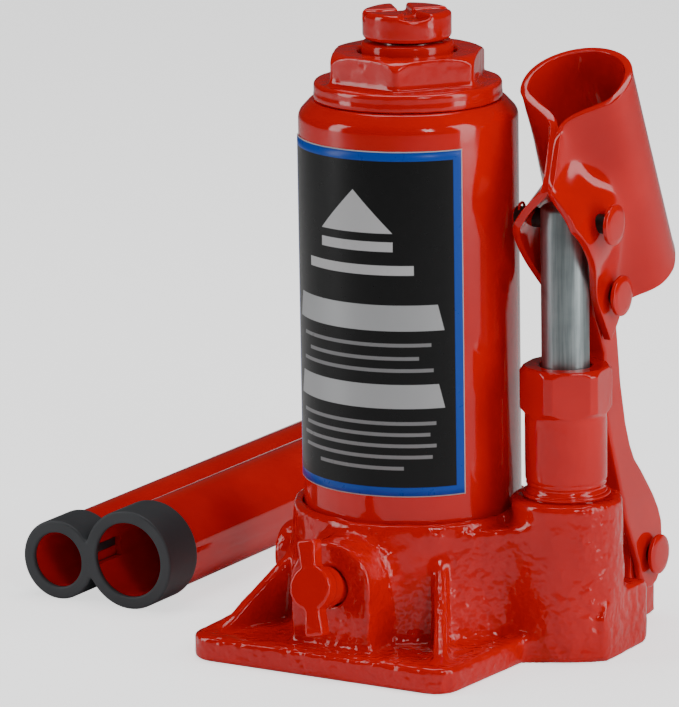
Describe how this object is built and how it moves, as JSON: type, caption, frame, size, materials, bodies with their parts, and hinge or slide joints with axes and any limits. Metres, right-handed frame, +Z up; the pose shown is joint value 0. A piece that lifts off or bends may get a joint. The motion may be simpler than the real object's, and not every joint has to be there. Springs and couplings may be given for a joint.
{
  "type": "car jack",
  "caption": "Hydraulic bottle jack: cast base, oil tank, ram with screw saddle, hand pump with hinged handle socket and link, winged release valve, and its handle tubes in an end clip.",
  "frame": {"origin": "on the floor under the ram's axis, on the base's flat underside", "axes": "+Z up along the ram, -Y to the operator and the release valve, +X to the pump"},
  "size_m": [0.1624, 0.217, 0.1571],
  "materials": {
    "cast_paint": "gloss enamel over a rough casting",
    "red_paint": "gloss enamel",
    "zinc": "satin, brushed along its length",
    "steel": "ground",
    "rubber": "matt",
    "copper": "soft annealed copper",
    "grey_plastic": "moulded, dull",
    "label_film": "printed film",
    "seal_polymer": "machined"
  },
  "bodies": {
    "jack_body": {"base_casting": "cast_paint", "reservoir_tube": "red_paint", "tank_top_gasket": "rubber", "tank_base_gasket": "rubber", "rating_label": "label_film", "cylinder_foot_washer": "copper", "ram_cylinder": "steel", "oil_strainer": "copper", "top_nut": "red_paint", "ram_wiper": "rubber", "pump_foot_washer": "red_paint", "pump_cylinder": "red_paint", "pump_gland_seal": "rubber", "suction_ball": "steel", "base_pin": "red_paint", "base_pin_split_pin": "zinc", "relief_valve_plug": "steel", "relief_spring": "steel", "relief_ball": "steel"},
    "filler_plug": {"oil_filler_plug": "rubber"},
    "ram": {"ram": "steel", "piston_guide_ring": "seal_polymer", "piston_cup_seal": "rubber"},
    "screw_travel": {"screw_stop_ring": "steel"},
    "extension_screw": {"extension_screw": "steel", "saddle": "red_paint"},
    "plunger": {"pump_plunger": "zinc", "plunger_cup_seal": "seal_polymer"},
    "handle_socket": {"handle_socket": "red_paint", "plunger_pin": "red_paint", "plunger_pin_split_pin": "zinc", "link_pin": "red_paint", "link_pin_split_pin": "zinc"},
    "pump_link": {"pump_link": "red_paint"},
    "valve_ball": {"release_valve_ball": "steel"},
    "valve_screw": {"release_valve_screw": "red_paint"},
    "handle_clip": {"handle_clip": "grey_plastic"},
    "tube_large": {"handle_tube_large": "red_paint"},
    "tube_small": {"handle_tube_small": "red_paint"}
  },
  "joints": [
    {"name": "ram_lift", "type": "slide", "parent": "jack_body", "child": "ram", "axis": [0, 0, 1], "range_m": [0, 0.09]},
    {"name": "screw_rise", "type": "slide", "parent": "ram", "child": "screw_travel", "axis": [0, 0, 1], "range_m": [0, 0.06]},
    {"name": "screw_turn", "type": "hinge", "parent": "screw_travel", "child": "extension_screw", "pos_m": [0, 0, 0.1499], "axis": [0, 0, 1], "range_deg": [0, 7200]},
    {"name": "plunger_slide", "type": "slide", "parent": "jack_body", "child": "plunger", "axis": [0, 0, -1], "range_m": [0, 0.0108]},
    {"name": "socket_swing", "type": "hinge", "parent": "plunger", "child": "handle_socket", "pos_m": [0.0422, 0.002, 0.108], "axis": [1, 0, 0], "range_deg": [0, 45]},
    {"name": "link_swing", "type": "hinge", "parent": "jack_body", "child": "pump_link", "pos_m": [0.0422, 0.0355, 0.0173], "axis": [1, 0, 0], "range_deg": [-9.5, 0]},
    {"name": "valve_back_off", "type": "slide", "parent": "jack_body", "child": "valve_ball", "axis": [0, -0.9781, 0.2079], "range_m": [0, 0.00187]},
    {"name": "valve_turn", "type": "hinge", "parent": "valve_ball", "child": "valve_screw", "pos_m": [-0.0008, -0.04, 0.0208], "axis": [0, -0.9781, 0.2079], "range_deg": [0, 540]},
    {"name": "filler_plug_pull", "type": "slide", "parent": "jack_body", "child": "filler_plug", "axis": [0, 1, 0], "range_m": [0, 0.01]},
    {"name": "handle_set_lift", "type": "slide", "parent": "jack_body", "child": "handle_clip", "axis": [0, 0, 1], "range_m": [0, 0.04]},
    {"name": "large_tube_pull", "type": "slide", "parent": "handle_clip", "child": "tube_large", "axis": [0, 1, 0], "range_m": [0, 0.03]},
    {"name": "small_tube_pull", "type": "slide", "parent": "handle_clip", "child": "tube_small", "axis": [0, 1, 0], "range_m": [0, 0.03]}
  ],
  "couplings": [
    {"joint": "screw_turn", "follows": "screw_rise", "rad_per_m": 2094.4},
    {"joint": "plunger_slide", "follows": "socket_swing", "m_per_rad": 0.01363},
    {"joint": "link_swing", "follows": "socket_swing", "ratio": -0.209},
    {"joint": "valve_turn", "follows": "valve_back_off", "rad_per_m": 5026.5}
  ]
}
